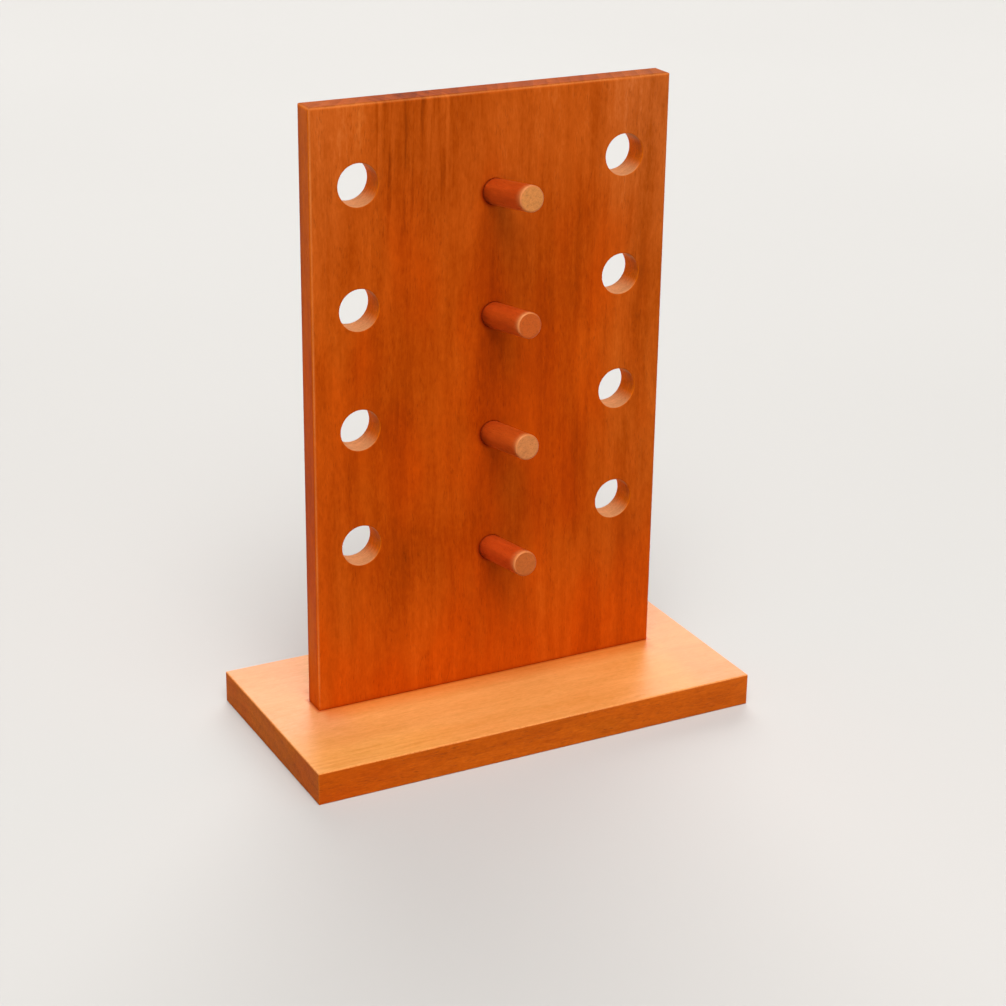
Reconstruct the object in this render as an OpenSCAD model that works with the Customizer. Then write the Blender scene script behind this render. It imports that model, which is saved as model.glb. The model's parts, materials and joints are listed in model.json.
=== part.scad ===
// Desk rack that displays eyeglasses: an upright panel on a base board, with
// a column of tilted pegs for the bridges and two columns of through holes
// for the temples. Millimetres, +Z up, +Y to the back, origin at the middle
// of the base board's underside.

/* [Base board] */
// Width of the base board, left to right
base_w = 228.6; // [200:0.1:320]
// Depth of the base board, front to back
base_d = 114.8; // [80:0.1:180]
// Thickness of the base board
base_t = 16; // [15:0.5:24]
// Radius of the base board's eased edges
base_ease = 0.7; // [0.3:0.1:1.5]

/* [Back panel] */
// Width of the upright panel
panel_w = 180; // [164:1:200]
// Height of the upright panel above the base board
panel_h = 288; // [272:1:340]
// Thickness of the upright panel
panel_t = 13; // [12.5:0.5:18]
// Distance of the panel's front face in front of the base board's middle
panel_forward = 1.5; // [0:0.5:20]
// Radius of the panel's vertical and top edges
panel_round = 1.5; // [0.5:0.1:2]
// Radius of the panel's bottom edges, where it meets the base board
foot_ease = 0.5; // [0.2:0.1:1]

/* [Temple holes] */
// Diameter of a temple hole
hole_d = 19.5; // [14:0.5:24]
// Distance between the left and right columns of temple holes
hole_spacing = 134; // [120:1:138]
// Height of the top temple holes above the base board
hole_top = 252; // [240:1:256]
// Distance between one temple hole and the next below it
hole_pitch = 57; // [50:0.5:60]
// Radius of the eased rim of a temple hole
hole_ease = 0.6; // [0.3:0.1:1.2]

/* [Pegs] */
// Number of pegs, and of temple holes in each column
rows = 4; // [4]
// Diameter of a peg
peg_d = 12; // [8:0.5:14]
// Length of a peg in front of the panel, along its own axis
peg_free = 36; // [24:1:60]
// Upward tilt of a peg, in degrees
peg_tilt = 8.3; // [4:0.1:12]
// Height above the base board where the top peg's axis leaves the panel
peg_top_z = 242; // [236:1:250]
// Distance between one peg and the next below it
peg_pitch = 58; // [52:0.5:60]
// Depth of a peg's glued end inside the panel, along its own axis
peg_seat = 9.5; // [7:0.5:9.5]
// Radius of the rounded rim at a peg's free end
peg_round = 0.9; // [0.3:0.1:2]
// Radius of the eased rim of a peg's bore
bore_ease = 0.5; // [0.2:0.1:1]

/* [Dowel pins] */
// Diameter of a dowel pin between the base board and the panel
dowel_d = 6; // [5:0.5:6]
// Length of a dowel pin
dowel_len = 30; // [24:1:36]
// Depth of a dowel pin in the base board
dowel_down = 11; // [8:0.5:12]
// Distance between the two dowel pins
dowel_spacing = 60; // [40:1:90]

/* [Screws] */
// Length of a countersunk wood screw
screw_len = 45; // [40:1:50]
// Diameter of the screw over its thread
screw_d = 4; // [3.5:0.1:4.5]
// Diameter of the screw's head
screw_head_d = 8; // [7:0.1:9]
// Distance between the two outer screws
screw_spacing = 128; // [110:1:140]
// Pitch of the screw's thread ridges
thread_pitch = 1.8; // [1.5:0.1:2.4]

/* [Hidden] */

panel_z = base_t;                         // the panel's foot stands on the base board
panel_y = -panel_forward;                 // its front face
panel_mid = panel_y + panel_t / 2;        // its mid-plane
hole_r = hole_d / 2;
peg_r = peg_d / 2;
glue_r = peg_r - 0.2;                     // the glued end is a touch slimmer than the peg
bore_r = peg_r - 0.15;                    // the bore leaves a thin glue line around it
peg_neck = 1.1;                           // the slim end reaches this far out of the panel
dowel_r = dowel_d / 2;
screw_r = screw_d / 2;
head_r = screw_head_d / 2;
head_sink = 0.6;                          // the screw heads sit this far up inside the base
head_h = 2.4;                             // height of the head's cone
screw_tip = head_sink + screw_len;        // height of the screw's point
core_r = 0.68 * screw_r;

cherry = [0.74, 0.32, 0.09];
cherry_light = [0.86, 0.50, 0.24];
peg_wood = [0.70, 0.27, 0.08];
beech = [0.85, 0.70, 0.50];
zinc = [0.78, 0.76, 0.68];

function hole_z(i) = panel_z + hole_top - i * hole_pitch;
function peg_z(i) = panel_z + peg_top_z - i * peg_pitch;

// Cutter for one rounded corner of a flat outline, with its corner at the origin
module corner_cut(r) {
    difference() {
        translate([-1, -1]) square(1 + r);
        translate([r, r]) circle(r, $fn = 48);
        translate([r, -2]) square(r + 4);
        translate([-2, r]) square([r + 4, r + 4]);
    }
    translate([-1, -1]) square([1, 1 + r]);
    translate([-1, -1]) square([1 + r, 1]);
}

// Rectangle centred on X that stands on the X axis, with its own radius at the foot and at the top
module eased_rect(w, h, r_foot, r_top) {
    difference() {
        translate([-w / 2, 0]) square([w, h]);
        for (s = [0, 1]) mirror([s, 0]) translate([-w / 2, 0]) corner_cut(r_foot);
        for (s = [0, 1]) mirror([s, 0]) translate([-w / 2, h]) mirror([0, 1]) corner_cut(r_top);
    }
}

// Board w wide, t deep and h high, standing on the XY plane, with all its edges eased
module eased_board(w, t, h, r_side, r_foot, r_top) {
    intersection() {
        translate([0, t / 2, 0]) rotate([90, 0, 0])
            linear_extrude(t) eased_rect(w, h, r_foot, r_top);
        translate([-w / 2, 0, 0]) rotate([90, 0, 90])
            linear_extrude(w) eased_rect(t, h, r_foot, r_top);
        translate([0, -t / 2, 0])
            linear_extrude(h) eased_rect(w, t, r_side, r_side);
    }
}

// Ring cutter that rounds the mouth of a hole of radius r; the mouth faces +Z at z = 0
module mouth_cut(r, ease) {
    rotate_extrude($fn = 96) difference() {
        translate([r - 0.3, -ease]) square([ease + 0.3, ease + 1]);
        translate([r + ease, -ease]) circle(ease, $fn = 48);
    }
}

// Straight temple hole through the panel, eased at both faces
module temple_hole(x, z) {
    translate([x, panel_y, z]) rotate([90, 0, 0]) {
        translate([0, 0, -panel_t - 1]) cylinder(r = hole_r, h = panel_t + 2, $fn = 96);
        mouth_cut(hole_r, hole_ease);
        translate([0, 0, -panel_t]) mirror([0, 0, 1]) mouth_cut(hole_r, hole_ease);
    }
}

// Frame of peg i: the axis along +Z, with z = 0 where it leaves the panel
module at_peg(i) {
    translate([0, panel_y, peg_z(i)]) rotate([90 - peg_tilt, 0, 0]) children();
}

// Blind bore of peg i, with the eased rim on the panel's face
module peg_bore(i) {
    at_peg(i) translate([0, 0, -peg_seat]) cylinder(r = bore_r, h = peg_seat + 4, $fn = 96);
    translate([0, panel_y, peg_z(i)]) rotate([90, 0, 0]) mouth_cut(bore_r / cos(peg_tilt), bore_ease);
}

// Turned peg: a slimmer glued end, then the shank with its rounded free rim
module peg(i) {
    at_peg(i) rotate_extrude($fn = 96) difference() {
        union() {
            translate([0, -peg_seat]) square([glue_r, peg_seat + peg_neck + 1]);
            translate([0, peg_neck]) square([peg_r, peg_free - peg_neck]);
        }
        translate([peg_r, peg_free]) rotate(180) corner_cut(peg_round);
        translate([glue_r - 0.8, -peg_seat]) polygon([[0.2, -1], [2, -1], [2, 0.8], [0.8, 0.6], [0.2, 0]]);
    }
}

// Fluted dowel pin with chamfered ends, standing on the bottom of its hole in the base board
module dowel(x) {
    flutes = 14;
    translate([x, panel_mid, panel_z - dowel_down]) difference() {
        rotate_extrude($fn = 72) polygon([[0, 0], [dowel_r - 0.9, 0], [dowel_r, 1.2],
            [dowel_r, dowel_len - 1.2], [dowel_r - 0.9, dowel_len], [0, dowel_len]]);
        for (i = [0 : flutes - 1]) rotate(i * 360 / flutes)
            translate([dowel_r + 0.22, 0, -1]) cylinder(r = 0.45, h = dowel_len + 2, $fn = 24);
    }
}

// Countersunk cross-head wood screw, point up, with ridges for its thread
module screw(x) {
    shank = screw_len * 0.36;                   // plain length under the head
    ridges = floor((screw_len - shank - 6) / thread_pitch);
    translate([x, panel_mid, head_sink]) difference() {
        rotate_extrude($fn = 72) {
            // head, plain shank, threaded core and point
            polygon([[0, 0], [head_r - 0.15, 0], [head_r, 0.25], [screw_r * 0.95, head_h],
                [screw_r * 0.95, shank], [core_r, shank + 0.8],
                [core_r, screw_len - 5], [0.15, screw_len], [0, screw_len]]);
            for (i = [0 : ridges]) translate([0, shank + 1 + i * thread_pitch])
                polygon([[core_r - 0.3, 0], [core_r, 0], [screw_r, 0.42],
                    [screw_r, 0.56], [core_r, 0.98], [core_r - 0.3, 0.98]]);
        }
        // cross recess in the head, seen from below
        intersection() {
            union() for (a = [45, 135]) rotate(a)
                translate([-2.4, -0.5, -1]) cube([4.8, 1, 3]);
            cylinder(r1 = 2.55, r2 = 0.9, h = 1.9, $fn = 48);
        }
        translate([0, 0, -1]) cylinder(r = 0.9, h = 1.9, $fn = 48);
    }
}

// Clearance hole, countersink and pilot hole of one screw
module screw_hole(x) {
    translate([x, panel_mid, 0]) {
        translate([0, 0, -1]) cylinder(r = head_r + 0.02, h = 1 + head_sink + 0.25, $fn = 72);
        translate([0, 0, head_sink + 0.25])
            cylinder(r1 = head_r + 0.02, r2 = screw_r * 0.95 + 0.02, h = head_h - 0.25, $fn = 72);
        cylinder(r = screw_r + 0.15, h = base_t + 1, $fn = 72);
    }
}

module screw_pilot(x) {
    translate([x, panel_mid, panel_z - 1]) {
        cylinder(r = screw_r + 0.02, h = screw_tip - panel_z + 1 - 5, $fn = 72);
        cylinder(r = core_r + 0.05, h = screw_tip - panel_z + 1.6, $fn = 72);
    }
}

module base_board() {
    color(cherry_light) difference() {
        eased_board(base_w, base_d, base_t, base_ease, base_ease, base_ease);
        for (s = [-1, 1]) translate([s * dowel_spacing / 2, panel_mid, panel_z - dowel_down])
            cylinder(r = dowel_r + 0.05, h = dowel_down + 1, $fn = 72);
        for (s = [-1, 0, 1]) screw_hole(s * screw_spacing / 2);
    }
}

module back_panel() {
    color(cherry) difference() {
        translate([0, panel_mid, panel_z])
            eased_board(panel_w, panel_t, panel_h, panel_round, foot_ease, panel_round);
        for (s = [-1, 1], i = [0 : rows - 1]) temple_hole(s * hole_spacing / 2, hole_z(i));
        for (i = [0 : rows - 1]) peg_bore(i);
        for (s = [-1, 1]) translate([s * dowel_spacing / 2, panel_mid, panel_z - 1])
            cylinder(r = dowel_r + 0.05, h = dowel_len - dowel_down + 1.8, $fn = 72);
        for (s = [-1, 0, 1]) screw_pilot(s * screw_spacing / 2);
    }
}

module peg_top() { color(peg_wood) peg(0); }
module peg_upper_middle() { color(peg_wood) peg(1); }
module peg_lower_middle() { color(peg_wood) peg(2); }
module peg_bottom() { color(peg_wood) peg(3); }
module dowel_left() { color(beech) dowel(-dowel_spacing / 2); }
module dowel_right() { color(beech) dowel(dowel_spacing / 2); }
module screw_left() { color(zinc) screw(-screw_spacing / 2); }
module screw_centre() { color(zinc) screw(0); }
module screw_right() { color(zinc) screw(screw_spacing / 2); }

base_board();
back_panel();
peg_top();
peg_upper_middle();
peg_lower_middle();
peg_bottom();
dowel_left();
dowel_right();
screw_left();
screw_centre();
screw_right();
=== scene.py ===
import bpy, bmesh, math, json
from mathutils import Vector, Matrix


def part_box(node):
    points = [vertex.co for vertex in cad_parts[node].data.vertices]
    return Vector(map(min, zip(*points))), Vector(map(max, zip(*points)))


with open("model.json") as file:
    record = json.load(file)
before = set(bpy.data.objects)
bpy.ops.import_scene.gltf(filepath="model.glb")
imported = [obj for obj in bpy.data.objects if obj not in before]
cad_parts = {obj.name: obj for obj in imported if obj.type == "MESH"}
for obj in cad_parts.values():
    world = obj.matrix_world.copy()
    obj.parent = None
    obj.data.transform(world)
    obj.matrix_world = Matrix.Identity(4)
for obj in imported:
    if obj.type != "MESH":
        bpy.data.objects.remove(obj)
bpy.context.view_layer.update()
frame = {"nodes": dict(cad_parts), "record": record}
nodes = frame["nodes"]
scene = bpy.context.scene

# ---------------------------------------------------------------- places, in millimetres, from the frame
def box_mm(n):
    lo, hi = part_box(n)
    return [v * 1000 for v in lo], [v * 1000 for v in hi]

P_LO, P_HI = box_mm("back_panel")
B_LO, B_HI = box_mm("base_board")
MOUNTS = {m["name"]: m for m in frame["record"]["mounts"]}
hole_pos = [[1000 * v for v in MOUNTS[n]["pos_m"]] for n in sorted(MOUNTS) if n.startswith("temple_hole_right")]
HOLE_X = hole_pos[0][0]
HOLE_ZS = sorted(p[2] for p in hole_pos)
HOLE_PITCH = HOLE_ZS[1] - HOLE_ZS[0]
HOLE_R = MOUNTS["temple_hole_right_top"]["dims"]["r_mm"]
PEG_AXIS = Vector(MOUNTS["peg_top_end"]["axis"]).normalized()
PEG_R = MOUNTS["peg_top_end"]["dims"]["r_mm"]
PEG_FREE = MOUNTS["peg_top_end"]["dims"]["length_mm"] + 2.0


def peg_root(name):
    """Where a peg's axis meets the panel's front face."""
    mid = Vector(MOUNTS[name]["pos_m"]) * 1000
    return mid - PEG_AXIS * ((mid.y - P_LO[1]) / PEG_AXIS.y)


PEG_ZS = sorted(peg_root(n).z for n in MOUNTS if n.startswith("peg_") and n.endswith("_end"))
PEG_PITCH = PEG_ZS[1] - PEG_ZS[0]


# ---------------------------------------------------------------- node graph helper
class Graph:
    def __init__(self, name):
        self.mat = bpy.data.materials.new(name)
        self.mat.use_nodes = True
        self.t = self.mat.node_tree
        self.t.nodes.clear()
        self.out = self.t.nodes.new("ShaderNodeOutputMaterial")
        self.bsdf = self.t.nodes.new("ShaderNodeBsdfPrincipled")
        self.t.links.new(self.bsdf.outputs[0], self.out.inputs["Surface"])

    def new(self, kind, **props):
        n = self.t.nodes.new(kind)
        for k, v in props.items():
            setattr(n, k, v)
        return n

    def put(self, socket, v):
        if v is None:
            return
        if isinstance(v, bpy.types.NodeSocket):
            self.t.links.new(v, socket)
        else:
            socket.default_value = v

    def m(self, op, a, b=None, c=None, clamp=False):
        n = self.new("ShaderNodeMath", operation=op, use_clamp=clamp)
        for i, v in enumerate((a, b, c)):
            if v is not None:
                self.put(n.inputs[i], v)
        return n.outputs[0]

    def add(self, a, b): return self.m("ADD", a, b)
    def sub(self, a, b): return self.m("SUBTRACT", a, b)
    def mul(self, a, b): return self.m("MULTIPLY", a, b)
    def mad(self, a, b, c): return self.m("MULTIPLY_ADD", a, b, c)
    def absv(self, a): return self.m("ABSOLUTE", a)
    def mx(self, a, b): return self.m("MAXIMUM", a, b)
    def mn(self, a, b): return self.m("MINIMUM", a, b)

    def vec(self, op, a, b=None, scale=None):
        n = self.new("ShaderNodeVectorMath", operation=op)
        self.put(n.inputs[0], a)
        if b is not None:
            self.put(n.inputs[1], b)
        if scale is not None:
            self.put(n.inputs["Scale"], scale)
        return n.outputs["Value"] if op in ("DOT_PRODUCT", "LENGTH", "DISTANCE") else n.outputs["Vector"]

    def xyz(self, v):
        n = self.new("ShaderNodeSeparateXYZ")
        self.put(n.inputs[0], v)
        return n.outputs[0], n.outputs[1], n.outputs[2]

    def combine(self, x, y, z):
        n = self.new("ShaderNodeCombineXYZ")
        for i, v in enumerate((x, y, z)):
            self.put(n.inputs[i], v)
        return n.outputs[0]

    def step(self, x, lo, hi, out_lo=0.0, out_hi=1.0):
        """Smooth step of x from lo to hi."""
        n = self.new("ShaderNodeMapRange", interpolation_type="SMOOTHSTEP", clamp=True)
        for i, v in enumerate((x, lo, hi, out_lo, out_hi)):
            self.put(n.inputs[i], v)
        return n.outputs[0]

    def noise(self, v, scale=(1, 1, 1), offset=(0, 0, 0), detail=2.0, rough=0.5, dist=0.0, dims="3D"):
        """Noise whose features measure about 1/scale millimetres along each axis."""
        mapped = self.vec("MULTIPLY_ADD", v, tuple(scale))
        mapped.node.inputs[2].default_value = tuple(offset)
        n = self.new("ShaderNodeTexNoise", noise_dimensions=dims)
        self.put(n.inputs["Vector"], mapped)
        n.inputs["Scale"].default_value = 1.0
        n.inputs["Detail"].default_value = detail
        n.inputs["Roughness"].default_value = rough
        n.inputs["Distortion"].default_value = dist
        return n.outputs["Fac"]

    def ramp(self, x, stops, interpolation="LINEAR"):
        n = self.new("ShaderNodeValToRGB")
        n.color_ramp.interpolation = interpolation
        el = n.color_ramp.elements
        while len(el) < len(stops):
            el.new(0.5)
        for e, (p, c) in zip(el, stops):
            e.position = p
            e.color = (*c, 1.0) if len(c) == 3 else c
        self.put(n.inputs[0], x)
        return n.outputs["Color"]

    def mix(self, f, a, b, blend="MIX"):
        n = self.new("ShaderNodeMix", data_type="RGBA", blend_type=blend, clamp_factor=True)
        self.put(n.inputs[0], f)
        self.put(n.inputs[6], a if isinstance(a, bpy.types.NodeSocket) else (*a, 1.0))
        self.put(n.inputs[7], b if isinstance(b, bpy.types.NodeSocket) else (*b, 1.0))
        return n.outputs[2]

    def tint(self, colour, gain):
        """colour times a number."""
        g = self.combine(gain, gain, gain)
        return self.mix(1.0, colour, g, "MULTIPLY")


def edge_mask(g, p, lo, hi, reach):
    """1 on a box's arrises, falling to 0 over reach millimetres from them."""
    x, y, z = g.xyz(p)
    c = [(a + b) / 2 for a, b in zip(lo, hi)]
    h = [(b - a) / 2 for a, b in zip(lo, hi)]
    d = [g.sub(h[i], g.absv(g.sub(v, c[i]))) for i, v in enumerate((x, y, z))]
    pairs = [g.mx(d[0], d[1]), g.mx(d[0], d[2]), g.mx(d[1], d[2])]
    near = g.mn(g.mn(pairs[0], pairs[1]), pairs[2])
    return g.step(near, reach, 0.0)


# ---------------------------------------------------------------- stained and lacquered wood
def wood(name, frame_of, golden, red, seed=(0, 0, 0), pith=(40.0, 95.0), ring=5.2, ring_gain=0.06, zone_gain=0.42,
         band_gain=0.30, streak_gain=0.20, dash_gain=0.20, pore_gain=0.22, warm=(0.38, 0.64), end_tone=0.7,
         end_colour=None, end_range=(0.55, 0.95), extra=None, rough=0.42, spec=0.3, spec_tint=(1.0, 0.42, 0.12),
         bump=0.00010, level=0.5, end_rough=0.30,
         end_ring=0.16):
    """Wood with its own fibre direction. frame_of(g, p) gives (across, through, along) in millimetres."""
    g = Graph(name)
    tc = g.new("ShaderNodeTexCoord")
    p = g.vec("SCALE", tc.outputs["Object"], scale=1000.0)
    u, v, w, end = frame_of(g, p)
    q = g.combine(u, v, w)
    q = g.vec("ADD", q, tuple(seed))
    # slow wander of the fibres
    wa = g.noise(q, (1 / 70, 1 / 70, 1 / 260), (3.1, 7.7, 1.3), 1.0)
    wb = g.noise(q, (1 / 15, 1 / 15, 1 / 70), (11.1, 2.7, 5.3), 1.0)
    shift = g.add(g.mul(g.sub(wa, 0.5), 16.0), g.mul(g.sub(wb, 0.5), 3.2))
    us = g.add(u, shift)
    qs = g.combine(us, g.add(v, g.mul(shift, 0.35)), w)
    qs = g.vec("ADD", qs, tuple(seed))
    # growth rings round a pith line that runs along the fibres, outside the board
    du = g.sub(us, pith[0])
    dv = g.sub(v, pith[1])
    dist = g.m("SQRT", g.add(g.mul(du, du), g.mul(dv, dv)))
    spread = g.noise(g.combine(dist, 0.0, 0.0), (1 / 23, 1, 1), (seed[0], 0, 0), 1.0)
    t = g.add(g.m("DIVIDE", dist, ring), g.mul(spread, 3.0))
    saw = g.m("FRACT", t)
    late = g.mul(g.step(saw, 0.25, 0.92), g.step(saw, 1.0, 0.94))
    year = g.noise(g.combine(g.m("FLOOR", t), seed[1], 0.0), (0.73, 1, 1), (0.37, 0.2, 0.9), 0.0)
    late = g.mul(late, g.step(year, 0.3, 0.75))
    # cloudy zones of stain, soft bands along the board, then shorter and finer fibres
    zone = g.noise(qs, (1 / 17, 1 / 17, 1 / 62), (21.0, 17.0, 11.0), 2.0, 0.55)
    band = g.noise(qs, (1 / 9.5, 1 / 22, 1 / 190), (5.0, 1.0, 2.0), 2.0, 0.55)
    mid_s = g.noise(qs, (1 / 2.3, 1 / 2.3, 1 / 6.0), (1.0, 8.0, 4.0), 2.0, 0.6)
    mid_l = g.noise(qs, (1 / 2.7, 1 / 2.7, 1 / 42.0), (6.0, 3.0, 9.0), 2.0, 0.6)
    streak = g.noise(qs, (1 / 0.85, 1 / 0.85, 1 / 13), (9.0, 3.0, 6.0), 3.0, 0.62)
    dash = g.noise(qs, (1 / 0.80, 1 / 0.80, 1 / 2.3), (2.0, 4.0, 8.0), 2.0, 0.6)
    fibre = g.noise(qs, (1 / 0.32, 1 / 0.32, 1 / 3.8), (2.0, 14.0, 8.0), 2.0, 0.6)
    pore = g.noise(qs, (1 / 0.45, 1 / 0.45, 1 / 3.4), (14.0, 5.0, 3.0), 1.0, 0.5)
    pore = g.step(pore, 0.58, 0.74)
    pore = g.mul(pore, g.step(g.noise(qs, (1 / 4.0, 1 / 4.0, 1 / 30), (4.0, 14.0, 5.0), 1.0), 0.35, 0.62))

    tone = g.add(level, g.mul(g.sub(zone, 0.5), zone_gain))
    tone = g.add(tone, g.mul(g.sub(band, 0.5), band_gain))
    tone = g.add(tone, g.mul(g.sub(mid_s, 0.5), streak_gain * 1.3))
    tone = g.add(tone, g.mul(g.sub(mid_l, 0.5), streak_gain * 0.8))
    tone = g.add(tone, g.mul(g.sub(streak, 0.5), dash_gain * 0.75))
    tone = g.add(tone, g.mul(g.sub(dash, 0.5), dash_gain))
    tone = g.add(tone, g.mul(g.sub(fibre, 0.5), dash_gain * 0.6))
    tone = g.sub(tone, g.mul(late, ring_gain))
    fine = g.noise(q, (1 / 0.9, 1 / 0.9, 1 / 0.9), (2.0, 31.0, 19.0), 3.0, 0.6)
    hue = g.noise(qs, (1 / 30, 1 / 30, 1 / 90), (41.0, 3.0, 27.0), 2.0, 0.5)
    state = dict(p=p, q=q, qs=qs, u=u, v=v, w=w, end=None, pore=pore, streak=streak, fibre=fibre, fine=fine, zone=zone,
                 tone=tone, warm=g.step(hue, warm[0], warm[1]), mid=mid_s, bump=None)
    if extra:
        extra(g, state, "tone")
    colour = g.mix(state["warm"], g.ramp(state["tone"], golden), g.ramp(state["tone"], red))
    # pores hold more stain
    pore = state["pore"]
    colour = g.tint(colour, g.sub(1.0, g.mul(pore, pore_gain)))
    # end grain: its own tone, dotted with pores
    endf = g.step(end, end_range[0], end_range[1])
    state["end"] = endf
    dots = g.noise(q, (1 / 0.45, 1 / 0.45, 1 / 2.0), (31.0, 4.0, 9.0), 2.0, 0.6)
    endgain = g.mul(end_tone, g.add(0.80, g.mul(dots, 0.42)))
    endgain = g.mul(endgain, g.sub(1.04, g.mul(g.step(saw, 0.15, 0.95), g.mul(g.step(saw, 1.0, 0.95), end_ring))))
    if end_colour is None:
        colour = g.tint(colour, g.add(1.0, g.mul(endf, g.sub(endgain, 1.0))))
    else:
        cloud = g.noise(q, (1 / 1.9, 1 / 1.9, 1 / 6.0), (51.0, 4.0, 29.0), 3.0, 0.6)
        specks = g.step(g.noise(q, (1 / 0.75, 1 / 0.75, 1 / 6.0), (61.0, 14.0, 2.0), 1.0), 0.60, 0.70)
        ecol = g.tint(end_colour, g.add(0.76, g.mul(dots, 0.48)))
        ecol = g.tint(ecol, g.add(0.70, g.mul(cloud, 0.60)))
        ecol = g.tint(ecol, g.sub(g.sub(1.0, g.mul(late, 0.10)), g.mul(specks, 0.22)))
        colour = g.mix(endf, colour, ecol)
    state["colour"] = colour
    if extra:
        extra(g, state, "colour")
    g.put(g.bsdf.inputs["Base Color"], state["colour"])
    r = g.add(rough, g.mul(g.sub(streak, 0.5), 0.10))
    r = g.add(r, g.mul(pore, 0.16))
    r = g.add(r, g.mul(g.sub(fine, 0.5), 0.10))
    r = g.add(r, g.mul(g.sub(zone, 0.5), 0.14))
    r = g.add(r, g.mul(endf, end_rough))
    if state.get("rough_add") is not None:
        r = g.add(r, state["rough_add"])
    g.put(g.bsdf.inputs["Roughness"], r)
    g.bsdf.inputs["Specular IOR Level"].default_value = spec
    g.bsdf.inputs["Specular Tint"].default_value = (*spec_tint, 1.0)
    # relief: open pores, fibres that show through the film, and the faint waviness of a brushed lacquer
    h = g.mul(pore, -1.0)
    h = g.add(h, g.mul(streak, 0.32))
    h = g.add(h, g.mul(fibre, 0.30))
    h = g.add(h, g.mul(fine, 0.22))
    h = g.add(h, g.mul(g.mul(dots, endf), 0.9))
    wave = g.noise(q, (1 / 7.0, 1 / 7.0, 1 / 16.0), (1.5, 2.5, 3.5), 1.0)
    h = g.add(h, g.mul(wave, 1.4))
    if state.get("bump") is not None:
        h = g.add(h, state["bump"])
    b = g.new("ShaderNodeBump")
    b.inputs["Strength"].default_value = 0.55
    b.inputs["Distance"].default_value = bump
    g.put(b.inputs["Height"], h)
    g.t.links.new(b.outputs[0], g.bsdf.inputs["Normal"])
    return g.mat


def face_along(g, axis):
    """How far the surface faces along an axis, 0 to 1."""
    geo = g.new("ShaderNodeNewGeometry")
    return g.absv(g.vec("DOT_PRODUCT", geo.outputs["Normal"], tuple(axis)))


def frame_z(g, p):
    x, y, z = g.xyz(p)
    return x, y, z, face_along(g, (0, 0, 1))


def frame_x(g, p):
    x, y, z = g.xyz(p)
    return y, z, x, face_along(g, (1, 0, 0))


def frame_peg(g, p):
    a = PEG_AXIS
    n = Vector((1, 0, 0)).cross(a)
    x = g.vec("DOT_PRODUCT", p, (1, 0, 0))
    v = g.vec("DOT_PRODUCT", p, tuple(n))
    w = g.vec("DOT_PRODUCT", p, tuple(a))
    return x, v, w, face_along(g, tuple(a))


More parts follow.
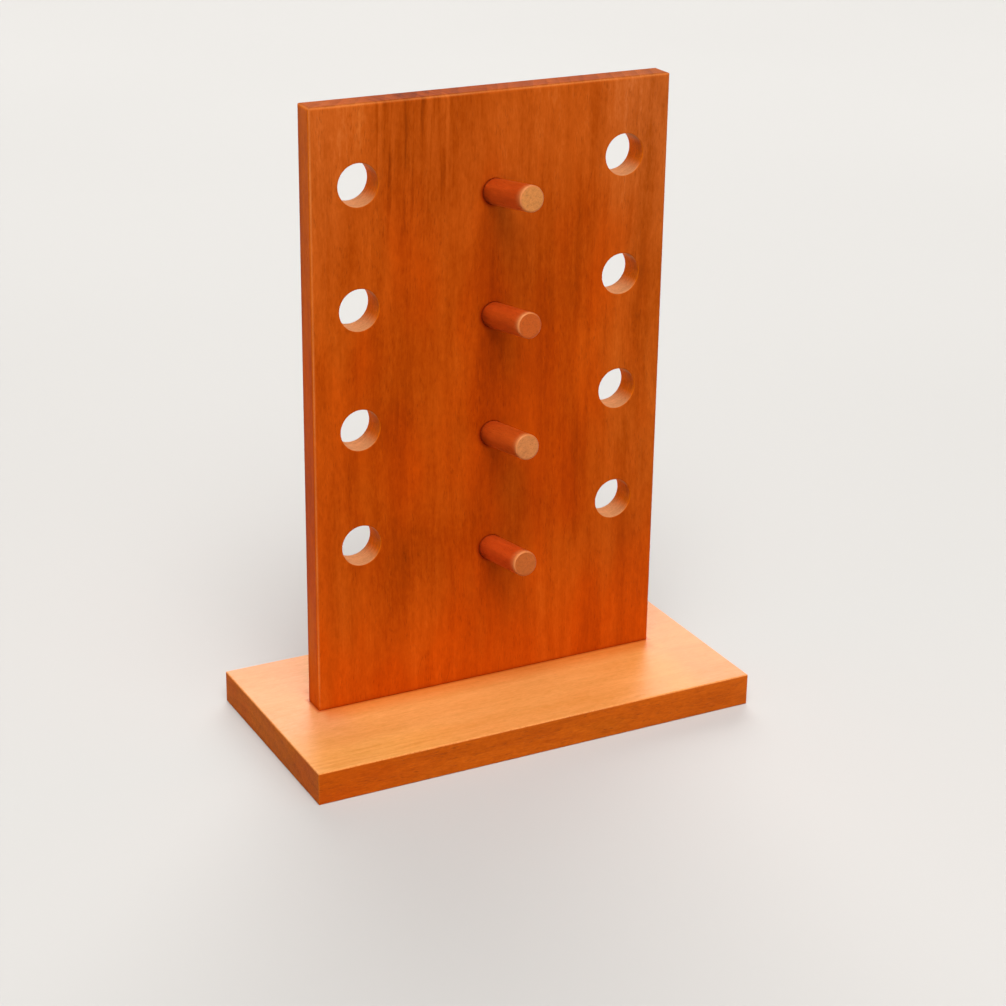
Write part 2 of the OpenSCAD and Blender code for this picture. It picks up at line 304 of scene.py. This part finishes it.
def panel_extra(g, s, stage):
    x, y, z = g.xyz(s["p"])
    if stage == "tone":
        # lighter and more golden towards the top; the foot is painted lighter and redder, as painted bounce light from
        # the base top;
        # with a darker run of fibres either side of the pegs
        top = g.step(z, P_HI[2] - 95, P_HI[2] + 5)
        foot_bounce_light = g.step(z, P_LO[2] + 75, P_LO[2] + 5)
        run_a = g.step(g.absv(g.add(g.sub(x, -0.30 * P_HI[0] * 2), g.mul(g.sub(s["zone"], 0.5), 30.0))), 13.0, 3.0)
        run_b = g.step(g.absv(g.add(g.sub(x, 0.24 * P_HI[0] * 2), g.mul(g.sub(s["zone"], 0.5), 26.0))), 9.0, 1.0)
        s["tone"] = g.add(s["tone"], g.add(g.mul(top, 0.13), g.mul(foot_bounce_light, 0.15)))
        region = g.mul(g.step(x, -66.0, -58.0), g.step(x, -14.0, -32.0))
        region = g.mul(region, g.step(z, P_HI[2] - 85, P_HI[2] - 25))
        hair = g.noise(s["qs"], (1 / 2.1, 1 / 30, 1 / 70), (17.0, 6.0, 3.0), 1.0)
        soft = g.noise(s["qs"], (1 / 6.5, 1 / 30, 1 / 90), (27.0, 6.0, 13.0), 1.0)
        run_c = g.mul(region, g.add(g.mul(g.step(hair, 0.50, 0.72), 0.9), g.mul(g.step(soft, 0.42, 0.62), 0.45)))
        s["tone"] = g.sub(s["tone"], g.add(g.mul(run_a, 0.035), g.add(g.mul(run_b, 0.06), g.mul(run_c, 0.24))))
        heart = g.mul(g.mul(g.step(x, -54.0, -36.0), g.step(x, 24.0, -12.0)), g.step(z, P_HI[2] - 60, P_HI[2] - 12))
        s["tone"] = g.sub(s["tone"], g.mul(heart, 0.12))
        # two places where the coat lies thinner, and one where it gathered
        thin_a = g.mul(g.mul(g.step(x, 15.0, 26.0), g.step(x, 48.0, 37.0)), g.step(z, 106.0, 78.0))
        thin_b = g.mul(g.step(g.absv(g.sub(x, 63.0)), 13.0, 4.0), g.step(g.absv(g.sub(z, 184.0)), 34.0, 14.0))
        thick = g.mul(g.step(g.absv(g.add(x, 56.0)), 10.0, 3.0), g.step(g.absv(g.sub(z, 173.0)), 38.0, 20.0))
        s["tone"] = g.add(s["tone"], g.sub(g.mul(g.add(thin_a, thin_b), 0.085), g.mul(thick, 0.085)))
        # painted sheen: the colour is pushed more golden towards both side edges
        side = g.step(g.absv(x), P_HI[0] * 0.55, P_HI[0] - 2.0)
        wm = g.sub(s["warm"], g.add(g.mul(top, 1.1), g.mul(side, 0.35)))
        s["warm"] = g.m("MAXIMUM", g.mn(g.add(wm, g.mul(foot_bounce_light, 0.75)), 1.0), 0.0)
        return
    # hole walls and rims: paler where the drill opened the fibres, with fine drill marks round the bore
    col = s["colour"]
    # paler and more golden towards the top
    col = g.mix(g.step(z, P_HI[2] - 120, P_HI[2] - 5), col, g.mix(1.0, col, (1.0, 1.15, 2.2), "MULTIPLY"))
    # painted sheen: the colour is pushed paler and more golden towards both side edges, rising with height
    rise = g.step(z, P_LO[2] + 10, P_LO[2] + 130, 0.30, 1.0)
    east_sheen = g.mul(g.step(x, 44.0, 80.0), rise)
    west_sheen = g.mul(g.step(x, -64.0, -88.0), rise)
    col = g.mix(east_sheen, col, g.mix(1.0, col, (1.0, 1.21, 2.3), "MULTIPLY"))
    col = g.mix(west_sheen, col, g.mix(1.0, col, (1.07, 1.20, 1.8), "MULTIPLY"))
    hx = g.sub(g.absv(x), HOLE_X)
    hz = g.m("WRAP", g.sub(z, HOLE_ZS[-1]), HOLE_PITCH / 2, -HOLE_PITCH / 2)
    hd = g.m("SQRT", g.add(g.mul(hx, hx), g.mul(hz, hz)))
    below = g.step(z, HOLE_ZS[0] - HOLE_PITCH / 2, HOLE_ZS[0] - HOLE_PITCH / 2 - 0.5)
    hd = g.add(hd, g.mul(below, 100.0))
    wall = g.step(hd, HOLE_R + 0.32, HOLE_R + 0.12)
    up = g.step(face_along(g, (0, 0, 1)), 0.35, 0.92)
    marks = g.noise(g.combine(y, g.mul(hz, 0.05), g.mul(hx, 0.05)), (1 / 0.55, 1, 1), (3.0, 0, 0), 2.0, 0.6)
    wallcol = g.mix(up, WALL_SIDE, WALL_BOTTOM)
    torn = g.noise(s["q"], (1 / 2.2, 1 / 1.4, 1 / 2.2), (13.0, 8.0, 4.0), 3.0, 0.65)
    wallcol = g.tint(wallcol, g.add(0.72, g.mul(torn, 0.56)))
    # painted light: the hole walls are made lighter towards the back of the bore
    wallcol = g.tint(wallcol, g.step(y, P_LO[1] + 2.0, P_HI[1] - 1.0, 0.92, 1.38))
    wallcol = g.tint(wallcol, g.add(0.80, g.mul(s["fine"], 0.40)))
    wallcol = g.tint(wallcol, g.add(0.80, g.mul(marks, 0.40)))
    col = g.mix(g.mul(wall, 0.92), col, wallcol)
    # the long arrises are rubbed paler here and there, partly wear and partly a painted highlight along the rounded
    # edges
    edge_wear_and_highlight = edge_mask(g, s["p"], P_LO, P_HI, 1.25)
    patchy = g.noise(s["q"], (1 / 25, 1 / 25, 1 / 38), (8.0, 31.0, 4.0), 1.0)
    worn_and_highlight = g.mul(edge_wear_and_highlight, g.mul(g.step(s["fine"], 0.25, 0.7, 0.6, 1.0), g.step(patchy, 0.30, 0.60, 0.45, 1.0)))
    worn_and_highlight = g.mul(worn_and_highlight, g.step(z, P_LO[2] + 1.2, P_LO[2] + 2.4))
    col = g.mix(g.mul(worn_and_highlight, 0.56), col, (0.82, 0.31, 0.085))
    # the side faces are more golden, and darker towards the back edge
    edge = g.mul(g.step(face_along(g, (1, 0, 0)), 0.7, 0.98), g.sub(1.0, wall))
    col = g.mix(edge, col, g.mix(1.0, col, (1.09, 1.00, 0.30), "MULTIPLY"))
    back = g.mul(edge, g.step(y, P_HI[1] - 4.5, P_HI[1] - 0.5))
    col = g.tint(col, g.sub(1.0, g.mul(back, 0.20)))
    # stain gathered in the joint at the foot; the dark ring round each peg, heavier at the lower left, is painted
    # shade of the gap
    foot_line = g.mx(g.mul(g.step(z, P_LO[2] + 2.4, P_LO[2] + 0.4), 0.40), g.mul(g.step(z, P_LO[2] + 0.8, P_LO[2] + 0.3), 0.85))
    pz = g.m("WRAP", g.sub(z, PEG_ZS[-1]), PEG_PITCH / 2, -PEG_PITCH / 2)
    pd = g.m("SQRT", g.add(g.mul(x, x), g.mul(pz, pz)))
    out = g.mx(g.step(z, PEG_ZS[-1] + PEG_PITCH / 2 - 1, PEG_ZS[-1] + PEG_PITCH / 2),
               g.step(z, PEG_ZS[0] - PEG_PITCH / 2 + 1, PEG_ZS[0] - PEG_PITCH / 2))
    front = g.step(y, P_LO[1] + 1.0, P_LO[1] + 0.4)
    low_left_shade = g.step(g.add(g.mul(x, -0.85 / PEG_R), g.mul(pz, -0.5 / PEG_R)), -0.5, 1.0)
    ring_w = g.add(g.add(0.7, g.mul(low_left_shade, 1.5)), g.mul(g.sub(s["fine"], 0.5), 1.2))
    # painted shade: a dark ring round each peg's root
    peg_gap_shade = g.mul(g.mul(g.step(pd, g.add(PEG_R, ring_w), g.add(PEG_R, 0.15)), g.sub(1.0, out)), front)
    peg_gap_shade = g.mul(peg_gap_shade, g.add(0.8, g.mul(low_left_shade, 0.5)))
    col = g.mix(foot_line, col, (0.36, 0.030, 0.0008))
    col = g.mix(g.mul(peg_gap_shade, 0.60), col, (0.24, 0.014, 0.0008))
    s["colour"] = col
    s["bump"] = g.mul(g.mul(marks, wall), 1.6)
    s["rough_add"] = g.add(g.mul(wall, 0.14), g.mul(worn_and_highlight, -0.05))


def base_extra(g, s, stage):
    x, y, z = g.xyz(s["p"])
    top = g.mul(g.step(face_along(g, (0, 0, 1)), 0.80, 0.99), g.step(z, B_HI[2] - 0.6, B_HI[2] - 0.1))
    if stage == "tone":
        # the top face is painted lighter and more even, with fewer pores: painted light from the strong overhead lamp
        s["top"] = top
        s["tone"] = g.add(g.mul(top, g.add(0.26, g.mul(s["tone"], 0.48))), g.mul(g.sub(1.0, top), s["tone"]))
        s["warm"] = g.mul(s["warm"], g.sub(0.8, g.mul(top, 0.5)))
        s["pore"] = g.mul(s["pore"], g.sub(1.0, g.mul(top, 0.7)))
        return
    # the arrises are paler: wear, and along the top arrises mostly a painted highlight
    edge_wear_and_highlight = edge_mask(g, s["p"], B_LO, B_HI, 1.0)
    worn_and_highlight = g.mul(edge_wear_and_highlight, g.step(s["fine"], 0.25, 0.7, 0.45, 1.0))
    # painted sheen: the top face is tinted paler and pinker
    col = g.mix(g.mul(top, TOP_SHEEN_MIX), s["colour"], g.mix(1.0, s["colour"], TOP_SHEEN_TINT, "MULTIPLY"))
    upper_highlight = g.step(z, B_HI[2] - 0.8, B_HI[2] - 0.25)
    col = g.mix(g.mul(worn_and_highlight, g.add(0.04, g.mul(upper_highlight, 0.66))), col, (0.96, 0.45, 0.145))
    # painted sheen: the two ends of the top are tinted the palest; the stain is redder on the left half of the front
    # edge
    left_end_sheen = g.mul(g.mul(g.step(x, -70.0, -92.0), top), g.step(y, B_LO[1] + 22.0, B_LO[1] + 50.0, 0.15, 1.0))
    right = g.mul(g.step(x, 78.0, 98.0), top)
    col = g.mix(left_end_sheen, col, g.mix(1.0, col, (0.98, 0.93, 1.27), "MULTIPLY"))
    col = g.mix(right, col, g.mix(1.0, col, (0.97, 0.87, 1.05), "MULTIPLY"))
    pooled = g.mul(g.step(face_along(g, (0, -1, 0)), 0.7, 0.95), g.step(g.add(x, g.mul(g.sub(s["zone"], 0.5), 60.0)), -48.0, -88.0))
    col = g.mix(pooled, col, g.mix(1.0, col, (0.97, 0.77, 0.40), "MULTIPLY"))
    # a thin line of stain and glue where the panel stands; the redder band round it is painted light reflected from
    # the panel
    dx = g.sub(g.absv(x), P_HI[0])
    dy = g.sub(g.absv(g.sub(y, (P_LO[1] + P_HI[1]) / 2)), (P_HI[1] - P_LO[1]) / 2)
    near = g.mx(dx, dy)
    # painted reflected light: a redder band on the top round the panel's foot
    band = g.step(g.mx(g.mul(g.add(dx, 6.0), 2.0), dy), 15.0, 2.5)
    col = g.mix(g.mul(band, top), col, g.mix(1.0, col, (0.89, 0.66, 0.46), "MULTIPLY"))
    line = g.mul(g.step(near, 2.0, 0.1), top)
    col = g.mix(g.mul(line, 0.70), col, (0.48, 0.070, 0.003))
    # a few dark hair lines in the grain near the front left corner
    hair = g.noise(s["qs"], (1 / 1.5, 1 / 20, 1 / 55), (7.0, 6.0, 33.0), 1.0)
    corner = g.mul(g.step(x, B_LO[0] + 95, B_LO[0] + 45), g.step(y, B_LO[1] + 26, B_LO[1] + 12))
    col = g.mix(g.mul(corner, top), col, g.mix(1.0, col, (1.05, 1.13, 1.08), "MULTIPLY"))
    hair = g.mul(g.mul(g.step(hair, 0.50, 0.66), corner), top)
    col = g.mix(g.mul(hair, 0.7), col, g.mix(1.0, col, (0.90, 0.80, 0.66), "MULTIPLY"))
    s["colour"] = col
    s["rough_add"] = g.mul(top, -0.03)


def peg_extra_for(tip_mm, axis_v, end_colour):
    def extra(g, s, stage):
        if stage == "tone":
            # painted shade: darker towards the root, most on the underside
            root_shade = g.step(s["w"], tip_mm - PEG_FREE + 12.0, tip_mm - PEG_FREE + 1.0)
            underside_shade = g.step(g.add(g.mul(s["u"], -0.45 / PEG_R), g.mul(g.sub(s["v"], axis_v), 0.85 / PEG_R)), -0.2, 0.8)
            root_shade = g.mul(root_shade, g.add(0.14, g.mul(underside_shade, 0.26)))
            s["tone"] = g.add(g.sub(s["tone"], root_shade), 0.04)
            return
        # the rounded rim at the free end, sanded back after staining and rubbed pale where bridges slide over it; its
        # paler upper-left side is a painted highlight
        facing = g.mul(g.add(g.mul(s["u"], -0.62), g.mul(g.sub(s["v"], axis_v), -0.78)), 1.0 / PEG_R)
        facing = g.add(facing, g.mul(g.sub(s["zone"], 0.5), 0.8))
        upper_highlight = g.step(facing, -0.35, 0.85)
        uneven = g.mul(g.sub(s["zone"], 0.5), 4.0)
        rim_wear_and_highlight = g.mul(g.step(g.add(s["w"], uneven), tip_mm - 5.0, tip_mm - 0.9), g.add(0.08, g.mul(upper_highlight, 0.42)))
        ringm = g.step(s["w"], tip_mm - 2.6, tip_mm - 0.9)
        side = g.sub(1.0, s["end"])
        plain = tuple(0.92 * c for c in end_colour)
        pale = g.mix(upper_highlight, plain, (0.60, 0.215, 0.066))
        s["colour"] = g.mix(g.mul(side, g.mx(rim_wear_and_highlight, g.mul(ringm, 0.80))), s["colour"], pale)
        # painted shade: dark in the crease at the peg's root
        line = g.step(s["w"], tip_mm - PEG_FREE + 2.4, tip_mm - PEG_FREE + 0.2)
        s["colour"] = g.mix(g.mul(line, 0.45), s["colour"], (0.26, 0.014, 0.001))
    return extra


WALL_SIDE, WALL_BOTTOM = (0.56, 0.112, 0.003), (0.505, 0.222, 0.090)
TOP_SHEEN_MIX, TOP_SHEEN_TINT = 1.0, (1.50, 2.98, 30.0)
PANEL_GOLD = [(0.10, (0.215, 0.026, 0.0006)), (0.36, (0.355, 0.046, 0.0010)),
              (0.58, (0.480, 0.074, 0.0030)), (0.82, (0.60, 0.125, 0.0095)), (1.0, (0.68, 0.17, 0.020))]
PANEL_RED = [(0.10, (0.225, 0.022, 0.0006)), (0.36, (0.370, 0.041, 0.0008)),
             (0.58, (0.495, 0.060, 0.0012)), (0.82, (0.62, 0.088, 0.0030)), (1.0, (0.70, 0.12, 0.008))]
BASE_GOLD = [(0.08, (0.26, 0.047, 0.0006)), (0.36, (0.41, 0.081, 0.0016)),
             (0.60, (0.52, 0.113, 0.0034)), (0.85, (0.62, 0.157, 0.0072)), (1.0, (0.70, 0.21, 0.014))]
BASE_RED = [(0.08, (0.27, 0.038, 0.0004)), (0.36, (0.42, 0.067, 0.0011)),
            (0.60, (0.53, 0.095, 0.0024)), (0.85, (0.63, 0.132, 0.0052)), (1.0, (0.71, 0.18, 0.0112))]
PEG_GOLD = [(0.10, (0.24, 0.029, 0.002)), (0.36, (0.39, 0.052, 0.004)),
            (0.60, (0.50, 0.078, 0.008)), (0.85, (0.61, 0.115, 0.016)), (1.0, (0.68, 0.15, 0.03))]
PEG_RED = [(0.10, (0.25, 0.022, 0.002)), (0.36, (0.41, 0.041, 0.003)),
           (0.60, (0.52, 0.060, 0.006)), (0.85, (0.63, 0.090, 0.012)), (1.0, (0.70, 0.13, 0.024))]

panel_mat = wood("panel_wood", frame_z, PANEL_GOLD, PANEL_RED, seed=(13.0, 4.0, 71.0), pith=(-210.0, 120.0), ring=7.0,
                 ring_gain=0.05, end_tone=0.74, extra=panel_extra, rough=0.44, spec=0.022, level=0.45)
base_mat = wood("base_wood", frame_x, BASE_GOLD, BASE_RED, seed=(91.0, 33.0, 17.0), pith=(20.0, -140.0), ring=7.0,
                ring_gain=0.05, zone_gain=0.34, band_gain=0.30, streak_gain=0.28, dash_gain=0.38, pore_gain=0.36, end_tone=0.93, end_ring=0.09,
                extra=base_extra, level=0.475, rough=0.40, spec=0.13, spec_tint=(1.0, 0.62, 0.30))


def assign(node, mat):
    o = nodes[node]
    o.data.materials.clear()
    o.data.materials.append(mat)


assign("back_panel", panel_mat)
assign("base_board", base_mat)

PEG_LOOK = [("peg_top", (0.52, 0.190, 0.046), (5, 3, 40)), ("peg_upper_middle", (0.43, 0.073, 0.005), (57, 21, 300)),
            ("peg_lower_middle", (0.49, 0.165, 0.046), (101, 77, 910)), ("peg_bottom", (0.415, 0.090, 0.012), (143, 9, 520))]
for name, end_colour, seed in PEG_LOOK:
    m = MOUNTS[name + "_end"]
    mid = Vector(m["pos_m"]) * 1000
    tip = mid.dot(PEG_AXIS) + m["dims"]["length_mm"] / 2 + 0.9
    axis_v = mid.dot(Vector((1, 0, 0)).cross(PEG_AXIS))
    mat = wood("wood_" + name, frame_peg, PEG_GOLD, PEG_RED, seed=seed, pith=(3.5, axis_v + 9.0), ring=2.1, ring_gain=0.08,
               zone_gain=0.26, band_gain=0.22, streak_gain=0.30, dash_gain=0.26, warm=(0.30, 0.58), end_colour=end_colour,
               end_range=(0.93, 0.985), end_rough=0.12, extra=peg_extra_for(tip, axis_v, end_colour), rough=0.40, spec=0.45, spec_tint=(1.0, 0.62, 0.42))
    assign(name, mat)

DOWEL = [(0.1, (0.42, 0.26, 0.12)), (0.5, (0.62, 0.42, 0.22)), (1.0, (0.76, 0.56, 0.33))]
dowel_mat = wood("dowel_wood", frame_z, DOWEL, DOWEL, seed=(3, 88, 12), pith=(-70, 30), ring=2.4, ring_gain=0.2,
                 end_tone=0.8, rough=0.62, spec=0.25, spec_tint=(1.0, 1.0, 1.0))
for n in ("dowel_left", "dowel_right"):
    assign(n, dowel_mat)


# ---------------------------------------------------------------- yellow-passivated zinc for the screws
def zinc():
    g = Graph("screw_zinc")
    tc = g.new("ShaderNodeTexCoord")
    p = g.vec("SCALE", tc.outputs["Object"], scale=1000.0)
    cloud = g.noise(p, (1 / 3.0, 1 / 3.0, 1 / 3.0), (1, 2, 3), 3.0)
    fine = g.noise(p, (1 / 0.25, 1 / 0.25, 1 / 0.25), (7, 2, 3), 2.0)
    col = g.ramp(cloud, [(0.25, (0.50, 0.42, 0.27)), (0.5, (0.66, 0.60, 0.46)), (0.75, (0.60, 0.56, 0.52))])
    col = g.tint(col, g.add(0.85, g.mul(fine, 0.3)))
    g.put(g.bsdf.inputs["Base Color"], col)
    g.bsdf.inputs["Metallic"].default_value = 1.0
    g.put(g.bsdf.inputs["Roughness"], g.add(0.26, g.mul(fine, 0.22)))
    b = g.new("ShaderNodeBump")
    b.inputs["Strength"].default_value = 0.3
    b.inputs["Distance"].default_value = 0.00003
    g.put(b.inputs["Height"], fine)
    g.t.links.new(b.outputs[0], g.bsdf.inputs["Normal"])
    return g.mat


zinc_mat = zinc()
for n in ("screw_left", "screw_centre", "screw_right"):
    assign(n, zinc_mat)


# ---------------------------------------------------------------- studio: pale floor, soft light
WALL_L, CEIL_L, BACKDROP_L = 0.66, 0.12, 0.845
LAMPS = [((-0.42, -1.0, 1.15), 24, 11, 4.4),      # key: high, in front, from the left
         ((-0.14, -0.42, 1.0), 26, 13, 6.0),      # overhead, a little in front
         ((0.43, 0.79, 0.44), 30, 12, 5.0)]       # behind, for the sheen on upward faces


def make_floor():
    bm = bmesh.new()
    bmesh.ops.create_circle(bm, cap_ends=True, radius=40.0, segments=96)
    me = bpy.data.meshes.new("floor")
    bm.to_mesh(me)
    bm.free()
    o = bpy.data.objects.new("floor", me)
    scene.collection.objects.link(o)
    g = Graph("floor_paper")
    tc = g.new("ShaderNodeTexCoord")
    n = g.noise(tc.outputs["Object"], (0.9, 0.9, 0.9), (0, 0, 0), 2.0)
    g.put(g.bsdf.inputs["Base Color"], g.ramp(n, [(0.3, (0.530, 0.523, 0.511)), (0.7, (0.555, 0.548, 0.536))]))
    g.bsdf.inputs["Roughness"].default_value = 0.85
    g.bsdf.inputs["Specular IOR Level"].default_value = 0.2
    me.materials.append(g.mat)
    return o


make_floor()

# a white room: pale walls near the horizon, a dimmer ceiling, and three broad soft lamps in it
world = bpy.data.worlds.new("studio")
scene.world = world
world.use_nodes = True
wt = world.node_tree
bg = wt.nodes["Background"]
wtc = wt.nodes.new("ShaderNodeTexCoord")


def wmath(op, a, b):
    n = wt.nodes.new("ShaderNodeMath")
    n.operation = op
    for i, v in enumerate((a, b)):
        if isinstance(v, bpy.types.NodeSocket):
            wt.links.new(v, n.inputs[i])
        else:
            n.inputs[i].default_value = v
    return n.outputs[0]


def wstep(x, lo, hi, a, b):
    n = wt.nodes.new("ShaderNodeMapRange")
    n.interpolation_type = "SMOOTHSTEP"
    wt.links.new(x, n.inputs[0])
    for i, v in enumerate((lo, hi, a, b)):
        n.inputs[i + 1].default_value = v
    return n.outputs[0]


def wlamp(towards, wide, narrow, strength):
    """A round soft lamp: full within narrow degrees of a direction, gone beyond wide degrees."""
    n = wt.nodes.new("ShaderNodeVectorMath")
    n.operation = "DOT_PRODUCT"
    wt.links.new(wtc.outputs["Generated"], n.inputs[0])
    n.inputs[1].default_value = tuple(Vector(towards).normalized())
    return wstep(n.outputs["Value"], math.cos(math.radians(wide)), math.cos(math.radians(narrow)), 0.0, strength)


wsep = wt.nodes.new("ShaderNodeSeparateXYZ")
wt.links.new(wtc.outputs["Generated"], wsep.inputs[0])
sky = wstep(wsep.outputs[2], 0.04, 0.55, WALL_L, CEIL_L)
for towards, wide, narrow, strength in LAMPS:
    sky = wmath("ADD", sky, wlamp(towards, wide, narrow, strength))
# the lamps light the object but stand outside the picture: behind it is only the even pale backdrop
wpath = wt.nodes.new("ShaderNodeLightPath")
seen = wpath.outputs["Is Camera Ray"]
sky = wmath("ADD", wmath("MULTIPLY", sky, wmath("SUBTRACT", 1.0, seen)), wmath("MULTIPLY", seen, BACKDROP_L))
wt.links.new(sky, bg.inputs[1])
bg.inputs[0].default_value = (1.0, 0.985, 0.965, 1.0)

# ---------------------------------------------------------------- camera, solved for the picture's viewing angle
F_PX, YAW, PITCH, ROLL = 2343.478, 27.737, 22.427, 0.846
cam_data = bpy.data.cameras.new("camera")
cam_data.sensor_fit = "HORIZONTAL"
cam_data.sensor_width = 36.0
cam_data.lens = 36.0 * F_PX / 1006
cam_data.clip_start, cam_data.clip_end = 0.01, 60
cam_data.dof.use_dof = False
cam = bpy.data.objects.new("camera", cam_data)
scene.collection.objects.link(cam)
y_, p_, r_ = (math.radians(a) for a in (YAW, PITCH, ROLL))
fwd = Vector((math.sin(y_) * math.cos(p_), math.cos(y_) * math.cos(p_), -math.sin(p_)))
right = Vector((math.cos(y_), -math.sin(y_), 0))
up = right.cross(fwd)
r2 = right * math.cos(r_) + up * math.sin(r_)
u2 = up * math.cos(r_) - right * math.sin(r_)
M = Matrix((r2, u2, -fwd)).transposed().to_4x4()
M.translation = Vector((-0.472787, -0.912896, 0.530331))
cam.matrix_world = M
scene.camera = cam
scene.view_settings.view_transform = "Standard"
scene.view_settings.look = "None"
